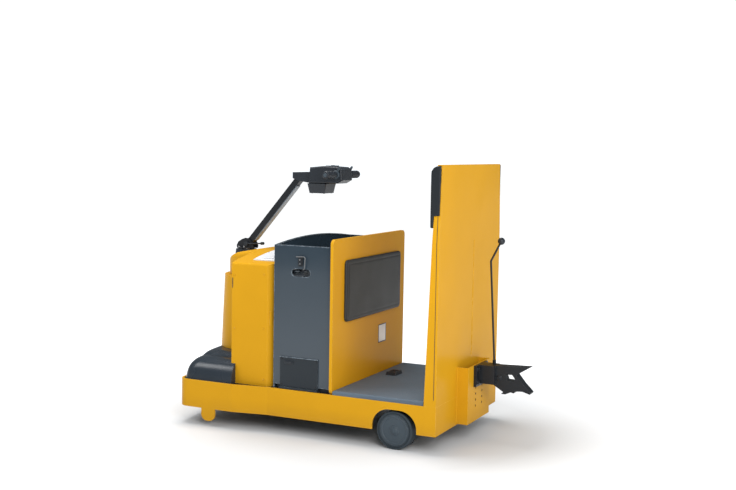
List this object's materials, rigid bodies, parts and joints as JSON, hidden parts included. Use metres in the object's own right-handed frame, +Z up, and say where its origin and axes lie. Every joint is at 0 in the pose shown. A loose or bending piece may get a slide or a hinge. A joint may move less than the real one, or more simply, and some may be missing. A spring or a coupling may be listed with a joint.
{
  "type": "stand-on tow tractor",
  "caption": "Stand-on tow tractor with a steered drive wheel, tiller, battery bay, open platform, backrest and rear jaw coupler.",
  "frame": {"origin": "on the floor under the middle of the machine's bounding box", "axes": "+X forward to the nose, +Y to the driver's left, +Z up"},
  "size_m": [1.7749, 0.916, 1.354],
  "materials": {
    "yellow_paint": "gloss",
    "grey_paint": "satin",
    "dark_moulding": "satin",
    "black_metal": "satin",
    "black_plastic": "satin",
    "wheel_grey": "satin",
    "tread": "matte",
    "mat_rubber": "matte",
    "pad_vinyl": "matte",
    "bare_steel": "satin",
    "cast_grey": "matte",
    "display_grey": "gloss"
  },
  "bodies": {
    "root": {"frame_skirt": "yellow_paint", "platform_plate": "black_metal", "platform_mat": "mat_rubber", "foot_pedal": "black_plastic", "battery_tray": "black_metal", "drive_deck": "black_metal", "battery_box": "grey_paint", "battery": "black_plastic", "battery_gate_left": "grey_paint", "battery_gate_right": "grey_paint", "battery_latch_left": "black_metal", "battery_latch_right": "black_metal", "operator_panel": "yellow_paint", "knee_pad": "pad_vinyl", "drive_housing": "yellow_paint", "front_cover": "yellow_paint", "motor_cover": "dark_moulding", "display_panel": "display_grey", "steering_collar": "black_plastic", "steering_ring": "cast_grey", "axle_hanger_left": "black_metal", "axle_hanger_right": "black_metal", "load_axle": "black_metal", "backrest_column": "yellow_paint", "backrest_pad": "pad_vinyl", "coupler_mount": "yellow_paint", "coupler_jaw": "black_metal", "release_rod": "black_metal", "release_knob": "black_plastic"},
    "steering": {"turntable": "cast_grey", "drive_gearbox": "cast_grey", "drive_motor": "black_metal", "steering_shaft": "bare_steel", "tiller_base": "black_metal", "tiller_pivot_pin": "bare_steel", "tilt_clamp_lever": "black_plastic"},
    "drive_wheel": {"drive_wheel_hub": "cast_grey", "drive_wheel_tyre": "tread"},
    "load_wheel_left": {"load_wheel_hub_left": "wheel_grey", "load_wheel_tyre_left": "tread"},
    "load_wheel_right": {"load_wheel_hub_right": "wheel_grey", "load_wheel_tyre_right": "tread"},
    "tiller": {"tiller_arm": "black_metal", "arm_cable_strip": "dark_moulding", "tiller_head": "black_plastic", "tiller_grip_left": "black_plastic", "tiller_grip_right": "black_plastic", "control_pod": "black_plastic"}
  },
  "joints": [
    {"name": "steering_swivel", "type": "hinge", "parent": "root", "child": "steering", "pos_m": [0.7345, 0, 0.3], "axis": [0, 0, 1], "range_deg": [-65, 65]},
    {"name": "drive_wheel_spin", "type": "hinge", "parent": "steering", "child": "drive_wheel", "pos_m": [0.7345, 0, 0.11], "axis": [0, 1, 0], "continuous": true},
    {"name": "tiller_tilt", "type": "hinge", "parent": "steering", "child": "tiller", "pos_m": [0.7135, 0, 0.902], "axis": [0, -1, 0], "range_deg": [-24, 12]},
    {"name": "load_wheel_left_spin", "type": "hinge", "parent": "root", "child": "load_wheel_left", "pos_m": [-0.3405, 0.371, 0.093], "axis": [0, 1, 0], "continuous": true},
    {"name": "load_wheel_right_spin", "type": "hinge", "parent": "root", "child": "load_wheel_right", "pos_m": [-0.3405, -0.371, 0.093], "axis": [0, 1, 0], "continuous": true}
  ]
}
